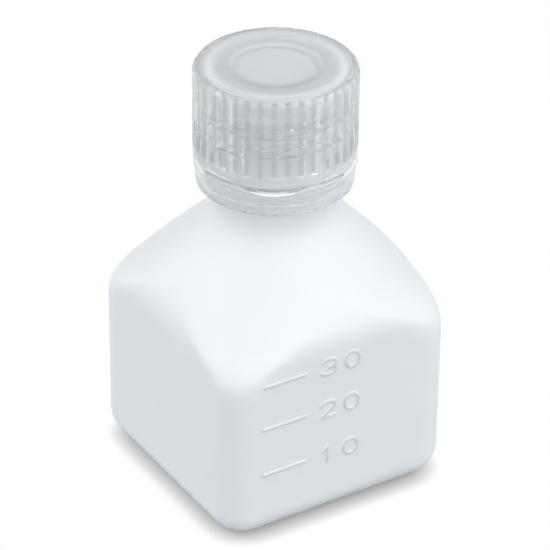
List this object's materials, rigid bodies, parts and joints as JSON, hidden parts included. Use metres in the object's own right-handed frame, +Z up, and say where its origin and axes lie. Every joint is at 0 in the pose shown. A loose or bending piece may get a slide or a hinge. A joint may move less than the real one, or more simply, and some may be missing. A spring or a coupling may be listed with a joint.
{
  "type": "square media bottle",
  "caption": "Small square translucent bottle with raised volume marks, a ribbed screw cap and a tamper band.",
  "frame": {"origin": "centre of the standing face under the square body", "axes": "+Z up through the neck and cap, +X to the right along the graduated side, -Y out of the graduated side"},
  "size_m": [0.0384, 0.0386, 0.0656],
  "materials": {
    "bottle": "satin, milky natural polyethylene",
    "closure": "smooth, translucent natural polypropylene"
  },
  "bodies": {
    "bottle": {"bottle": "bottle"},
    "tamper_band": {"tamper_band": "closure"},
    "cap": {"cap": "closure"}
  },
  "joints": [
    {"name": "cap_turn", "type": "hinge", "parent": "bottle", "child": "tamper_band", "pos_m": [0, 0, 0.05], "axis": [0, 0, 1], "range_deg": [0, 1440]},
    {"name": "cap_lift", "type": "slide", "parent": "tamper_band", "child": "cap", "axis": [0, 0, 1], "range_m": [0, 0.0127]}
  ],
  "couplings": [
    {"joint": "cap_lift", "follows": "cap_turn", "m_per_rad": 0.00050532}
  ]
}
